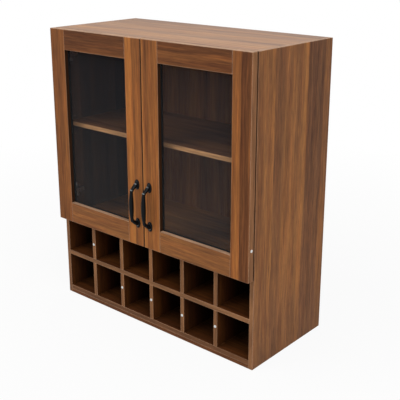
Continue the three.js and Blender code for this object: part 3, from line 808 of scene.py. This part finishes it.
def swept(path, radii, sides):
    """A round bar along a path in the plane across X, with a radius at each place."""
    sideways = Vector((1, 0, 0))
    corners = []
    count = len(path)
    for index, (place, radius) in enumerate(zip(path, radii)):
        ahead = path[min(index + 1, count - 1)] - path[max(index - 1, 0)]
        outward = ahead.cross(sideways).normalized()
        for side in range(sides):
            angle = 2 * math.pi * side / sides
            spoke = math.cos(angle) * sideways + math.sin(angle) * outward
            corners.append(place + radius * spoke)
    faces = [tuple(range(sides)), tuple(reversed(range((count - 1) * sides, count * sides)))]
    for index in range(count - 1):
        for side in range(sides):
            a, b = index * sides + side, index * sides + (side + 1) % sides
            faces.append((a, a + sides, b + sides, b))
    return corners, faces


def prism(outline, low, high):
    """An outline in the plane across Z, raised from low to high."""
    count = len(outline)
    corners = [Vector((x, y, level)) for level in (low, high) for x, y in outline]
    faces = [tuple(reversed(range(count))), tuple(range(count, 2 * count))]
    for index in range(count):
        after = (index + 1) % count
        faces.append((index, after, after + count, index + count))
    return corners, faces


def moved(shell, matrix):
    """The shell with a matrix applied to its corners."""
    corners, faces = shell
    return [matrix @ corner for corner in corners], faces


def loose(shells):
    """An unlinked mesh of the shells, with its faces turned outwards."""
    corners, faces = [], []
    for shell_corners, shell_faces in shells:
        start = len(corners)
        corners.extend(shell_corners)
        faces.extend(tuple(start + corner for corner in face) for face in shell_faces)
    mesh = bpy.data.meshes.new("shell")
    mesh.from_pydata(corners, [], faces)
    work = bmesh.new()
    work.from_mesh(mesh)
    bmesh.ops.recalc_face_normals(work, faces=work.faces)
    work.to_mesh(mesh)
    work.free()
    return mesh


def carved(shell, cutter):
    """The first shell with the second cut out of it."""
    target = bpy.data.objects.new("target", loose([shell]))
    tool = bpy.data.objects.new("tool", loose([cutter]))
    scene.collection.objects.link(target)
    scene.collection.objects.link(tool)
    change = target.modifiers.new("change", "BOOLEAN")
    change.operation = "DIFFERENCE"
    change.solver = "EXACT"
    change.object = tool
    result = target.evaluated_get(bpy.context.evaluated_depsgraph_get()).data
    corners = [corner.co.copy() for corner in result.vertices]
    faces = [tuple(face.vertices) for face in result.polygons]
    bpy.data.objects.remove(target)
    bpy.data.objects.remove(tool)
    return corners, faces


# Angles, in degrees, beyond which the edge between two faces looks sharp
SHARP_ANGLE = 35
HANDLE_SHARP_ANGLE = 50


def piece(name, shells, slot, body, replaced=(), sharp=SHARP_ANGLE):
    """A new piece of the object, riding on a body, in the finish of its slot."""
    mesh = loose(shells)
    mesh.name = name
    mesh.shade_smooth()
    mesh.set_sharp_from_angle(angle=math.radians(sharp))
    mesh.materials.append(FINISHES[slot])
    made = bpy.data.objects.new(name, mesh)
    scene.collection.objects.link(made)
    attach(made, body)
    if replaced:
        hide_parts(*replaced)


# Turns the shells' +Z towards one of the cabinet's directions
FORWARD = Matrix.Rotation(math.pi / 2, 4, "X")
BACKWARD = Matrix.Rotation(-math.pi / 2, 4, "X")
RIGHTWARD = Matrix.Rotation(math.pi / 2, 4, "Y")
LEFTWARD = Matrix.Rotation(-math.pi / 2, 4, "Y")


def at(place, turn):
    """A turn, and then a move to a place."""
    return Matrix.Translation(place) @ turn


# Soft dots on the rack's front edges and on the right door's side, and the bumpers behind the doors:
# shares of the radius and of the rise
DOT_SIDES = 32
DOT_DOME = [
    (0, 0), (1, 0), (1, 0.45), (0.95, 0.66), (0.84, 0.82), (0.66, 0.93), (0.40, 0.99), (0, 1),
]


def dot(node, body, outwards):
    """A smooth dome in a CAD dot's place, standing out to the front or to the right."""
    low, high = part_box(node)
    axis, turn, back = {"front": (1, FORWARD, high.y), "right": (0, RIGHTWARD, low.x)}[outwards]
    radius = (high.z - low.z) / 2
    rise = high[axis] - low[axis]
    place = (low + high) / 2
    place[axis] = back
    shell = turned([(radius * share, rise * up) for share, up in DOT_DOME], DOT_SIDES)
    piece(node + "_dome", [moved(shell, at(place, turn))], "clear_dot", body, [node])


for number in RACK_NUMBERS:
    dot(f"edge_dot_{number}", "carcass", "front")
dot("left_door_bumper", "carcass", "front")
dot("right_door_bumper", "carcass", "front")
dot("door_edge_dot", "right_door", "right")

# Bow handles, in millimetres: a belly between two collars, and a neck at each end that springs from
# an oval foot. Places along the upper half of the bow, outwards from the door and up from its middle
BOW_PLACES = [
    (2, 64.5), (7, 62.6), (12.6, 59.2), (18.6, 54.8), (23.2, 50.4), (25.6, 44.5), (26.8, 28),
    (27.2, 13),
]
BOW_CROWN = 27.2
BOW_STEPS = 8
BOW_SIDES = 28
BOW_EASE = 0.8
COLLAR_LEVEL = 49
COLLAR_SWELL = 1.9
COLLAR_WIDTH = 2.3
BELLY_RADIUS = 7.6
COLLAR_RADIUS = 4.2
ROOT_RADIUS = 7.2
ROOT_LEVEL = 63
FOOT_LEVEL = 64
FOOT_SPREAD = 1
FOOT_SIDES = 40
# Share of the foot's half width, and the rise from the door
FOOT_DOME = [
    (0, 0), (1, 0), (1, 1.1), (0.965, 1.6), (0.90, 1.85), (0.83, 1.9), (0.79, 2.3), (0.68, 3.4),
    (0.54, 4.4), (0.38, 5.1), (0.20, 5.4), (0, 5.5),
]


def smooth_path(places, steps):
    """A Catmull-Rom curve through the places."""
    path = []
    ends = [2 * places[0] - places[1], *places, 2 * places[-1] - places[-2]]
    for index in range(1, len(ends) - 2):
        a, b, c, d = ends[index - 1:index + 3]
        for step in range(steps):
            t = step / steps
            square = (2 * a - 5 * b + 4 * c - d) * t ** 2
            cube = (3 * b - a - 3 * c + d) * t ** 3
            path.append((2 * b + (c - a) * t + square + cube) / 2)
    path.append(ends[-2])
    return path


def bow_radius(level):
    """The bar's radius at a level above or below the middle."""
    away = abs(level)
    collar = COLLAR_SWELL * math.exp(-((away - COLLAR_LEVEL) / COLLAR_WIDTH) ** 2)
    if away < COLLAR_LEVEL:
        swell = math.cos(math.pi / 2 * away / COLLAR_LEVEL) ** BOW_EASE
        return COLLAR_RADIUS + (BELLY_RADIUS - COLLAR_RADIUS) * swell + collar
    spread = min(1, (away - COLLAR_LEVEL) / (ROOT_LEVEL - COLLAR_LEVEL))
    return COLLAR_RADIUS + (ROOT_RADIUS - COLLAR_RADIUS) * spread ** BOW_EASE + collar


def bow_handle(side):
    """A round bow on two oval feet, in the place of a door's CAD handle."""
    node = f"{side}_handle"
    low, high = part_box(node)
    upper = [Vector((0, -out, up)) for out, up in BOW_PLACES]
    lower = [Vector((0, -out, -up)) for out, up in reversed(BOW_PLACES)]
    path = smooth_path([*upper, Vector((0, -BOW_CROWN, 0)), *lower], BOW_STEPS)
    bar = swept(path, [bow_radius(place.z) for place in path], BOW_SIDES)
    half_width = (high.x - low.x) / 2 / MM + FOOT_SPREAD
    half_length = (high.z - low.z) / 2 / MM - FOOT_LEVEL
    dome = [(half_width * share, rise) for share, rise in FOOT_DOME]
    foot = turned(dome, FOOT_SIDES, half_length / half_width)
    feet = [moved(foot, at((0, 0, level), FORWARD)) for level in (FOOT_LEVEL, -FOOT_LEVEL)]
    centre = (low + high) / 2
    centre.y = high.y
    place = Matrix.Translation(centre) @ Matrix.Scale(MM, 4)
    shells = [moved(shell, place) for shell in (bar, *feet)]
    body = f"{side}_door"
    piece(f"{side}_bow_handle", shells, "black_handle", body, [node], HANDLE_SHARP_ANGLE)


# Screws with pan heads and a cross recess, in shares of the head's radius and height
HEAD_SIDES = 24
HEAD_DOME = [(0, -0.2), (1, -0.2), (1, 0.25), (0.93, 0.6), (0.75, 0.87), (0.45, 1), (0, 1)]
RECESS_REACH = 0.62
RECESS_HALF_WIDTH = 0.14
RECESS_TOP = 1.3
RECESS_FLOOR = 0.3
SHANK_RADIUS = 2 * MM
SHANK_SIDES = 16
HANDLE_HEAD_HEIGHT = 2.4 * MM


def screw_head(radius, height):
    """A pan head with a cross recess, seated at nought along Z."""
    head = turned([(radius * share, height * up) for share, up in HEAD_DOME], HEAD_SIDES)
    wide, slim = RECESS_REACH * radius, RECESS_HALF_WIDTH * radius
    cross = [
        (wide, -slim), (wide, slim), (slim, slim), (slim, wide), (-slim, wide), (-slim, slim),
        (-wide, slim), (-wide, -slim), (-slim, -slim), (-slim, -wide), (slim, -wide), (slim, -slim),
    ]
    return carved(head, prism(cross, RECESS_FLOOR * height, RECESS_TOP * height))


def handle_screw(side, level):
    """A handle's screw from behind its door: the shank and the head."""
    node = f"{side}_{level}_handle_screw"
    low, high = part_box(node)
    centre = (low + high) / 2
    seat = high.y - HANDLE_HEAD_HEIGHT
    length = seat - low.y
    shank = turned([(0, 0), (SHANK_RADIUS, 0), (SHANK_RADIUS, length), (0, length)], SHANK_SIDES)
    head = screw_head((high.x - low.x) / 2, HANDLE_HEAD_HEIGHT)
    shells = [
        moved(shank, at((centre.x, low.y, centre.z), BACKWARD)),
        moved(head, at((centre.x, seat, centre.z), BACKWARD)),
    ]
    piece(node + "_cross", shells, "screw_steel", f"{side}_door", [node])


# Dark strip between each pane and its frame: (inwards, outwards) corners of its section
GASKET_SECTION = [(0, 0), (1.8 * MM, 0), (1.3 * MM, 1.0 * MM), (0.6 * MM, 1.4 * MM), (0, 1.4 * MM)]
GASKET_GAP = 0.1 * MM


def gasket(side):
    stiles = sorted(
        (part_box(f"{side}_door_{place}_stile") for place in ("outer", "inner")),
        key=lambda box: box[0].x,
    )
    left, right = stiles[0][1].x + GASKET_GAP, stiles[1][0].x - GASKET_GAP
    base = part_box(f"{side}_door_bottom_rail")[1].z + GASKET_GAP
    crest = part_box(f"{side}_door_top_rail")[0].z - GASKET_GAP
    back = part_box(f"{side}_door_glass")[0].y - GASKET_GAP
    bends = [(left, base, 1, 1), (right, base, -1, 1), (right, crest, -1, -1), (left, crest, 1, -1)]
    corners = [
        Vector((x + turn_x * inset, back - rise, z + turn_z * inset))
        for x, z, turn_x, turn_z in bends for inset, rise in GASKET_SECTION
    ]
    count = len(GASKET_SECTION)
    faces = []
    for bend in range(len(bends)):
        for index in range(count):
            a = bend * count + index
            b = bend * count + (index + 1) % count
            faces.append((a, b, (b + count) % len(corners), (a + count) % len(corners)))
    piece(f"{side}_door_gasket", [(corners, faces)], "glass_bead", f"{side}_door")


# Concealed hinges: a pressed cup with rounded ears, and the screws of cup, plate and arm
EAR_HALF_WIDTH = 5.5 * MM
EAR_STEPS = 10
FLANGE_RADIUS = 19.5 * MM
FLANGE_THICKNESS = 1.2 * MM
FLANGE_STEPS = 30
WELL_OUTER_RADIUS = 17.5 * MM
WELL_INNER_RADIUS = 16.5 * MM
WELL_FLOOR = 1 * MM
WELL_SIDES = 64
WELL_ROUNDING = 1.5 * MM
HINGE_SCREW_RADIUS = 3.6 * MM
HINGE_SCREW_HEIGHT = 1.5 * MM
PLATE_WING = 2 * MM
ARM_SCREW_RADIUS = 2.7 * MM
ARM_SCREW_HEIGHT = 0.9 * MM
ARM_SCREW_PLACES = (0.22, 0.48)
PLATE_SCREW_PLACES = (0.14, 0.86)


def arc(level, radius, start, end, steps):
    """Places round a centre on the Y axis, from one angle to another."""
    turns = (start + (end - start) * step / steps for step in range(steps + 1))
    return [(radius * math.cos(turn), level + radius * math.sin(turn)) for turn in turns]


def hinge_cup(side, level):
    """A cup with its well, its flange with two rounded ears, and a screw in each ear."""
    node = f"{side}_{level}_hinge_cup"
    low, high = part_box(node)
    depth = high.y - low.y
    reach = (high.z - low.z) / 2
    tip = reach - EAR_HALF_WIDTH
    root = math.acos(EAR_HALF_WIDTH / FLANGE_RADIUS)
    outline = [
        *arc(0, FLANGE_RADIUS, -root, root, FLANGE_STEPS),
        *arc(tip, EAR_HALF_WIDTH, 0, math.pi, EAR_STEPS),
        *arc(0, FLANGE_RADIUS, math.pi - root, math.pi + root, FLANGE_STEPS),
        *arc(-tip, EAR_HALF_WIDTH, math.pi, 2 * math.pi, EAR_STEPS),
    ]
    plate = prism(outline, depth - FLANGE_THICKNESS, depth)
    bore = turned(
        [(0, 0), (WELL_INNER_RADIUS, 0), (WELL_INNER_RADIUS, 2 * depth), (0, 2 * depth)],
        WELL_SIDES,
    )
    well = turned([
        (0, 0), (WELL_OUTER_RADIUS - WELL_ROUNDING, 0), (WELL_OUTER_RADIUS, WELL_ROUNDING),
        (WELL_OUTER_RADIUS, depth - FLANGE_THICKNESS), (WELL_INNER_RADIUS, depth - FLANGE_THICKNESS),
        (WELL_INNER_RADIUS, WELL_FLOOR + WELL_ROUNDING), (WELL_INNER_RADIUS - WELL_ROUNDING, WELL_FLOOR),
        (0, WELL_FLOOR),
    ], WELL_SIDES)
    screws = [
        moved(screw_head(HINGE_SCREW_RADIUS, HINGE_SCREW_HEIGHT), Matrix.Translation((0, end, depth)))
        for end in (tip, -tip)
    ]
    middle = (low + high) / 2
    place = at((middle.x, low.y, middle.z), BACKWARD)
    shells = [moved(shell, place) for shell in (carved(plate, bore), well, *screws)]
    piece(node + "_pressed", shells, "hinge_steel", f"{side}_door", [node])


def hinge_screws(side, level):
    """The screws of the plate and the arm, which look into the carcass."""
    inward = 1 if side == "left" else -1
    turn = RIGHTWARD if side == "left" else LEFTWARD
    plate_low, plate_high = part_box(f"{side}_{level}_hinge_plate")
    arm_low, arm_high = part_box(f"{side}_{level}_hinge_arm")
    middle = (plate_low + plate_high) / 2
    wall = plate_low.x if side == "left" else plate_high.x
    crown = arm_high.x if side == "left" else arm_low.x
    shells = []
    for share in PLATE_SCREW_PLACES:
        up = plate_low.z + share * (plate_high.z - plate_low.z)
        place = (wall + inward * PLATE_WING, middle.y, up)
        shells.append(moved(screw_head(HINGE_SCREW_RADIUS, HINGE_SCREW_HEIGHT), at(place, turn)))
    for share in ARM_SCREW_PLACES:
        place = (crown, arm_high.y - share * (arm_high.y - arm_low.y), middle.z)
        shells.append(moved(screw_head(ARM_SCREW_RADIUS, ARM_SCREW_HEIGHT), at(place, turn)))
    piece(f"{side}_{level}_hinge_screws", shells, "screw_steel", "carcass")


# Shelf pins, in millimetres: radius and place along the pin, from the tip in the hole to the peg's end
PIN_SIDES = 32
PIN_PROFILE = [
    (0, 0), (2.15, 0), (2.45, 0.5), (2.45, 10), (4.2, 10), (4.5, 10.2), (4.5, 11), (4.2, 11.2),
    (3, 11.2), (3, 18.5), (2.7, 18.95), (2.2, 19.2), (0, 19.2),
]


def shelf_pin(node):
    """A turned pin in a CAD pin's place, with its tip towards the side panel."""
    low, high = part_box(node)
    middle = (low + high) / 2
    leftmost = middle.x < 0
    start = low.x if leftmost else high.x
    turn = RIGHTWARD if leftmost else LEFTWARD
    place = at((start, middle.y, middle.z), turn) @ Matrix.Scale(MM, 4)
    pin = moved(turned(PIN_PROFILE, PIN_SIDES), place)
    piece(node + "_turned", [pin], "pin_steel", "carcass", [node])


for side in ("left", "right"):
    bow_handle(side)
    gasket(side)
    for level in ("lower", "upper"):
        handle_screw(side, level)
        hinge_cup(side, level)
        hinge_screws(side, level)
    for level in ("front", "rear"):
        shelf_pin(f"{side}_{level}_shelf_pin")
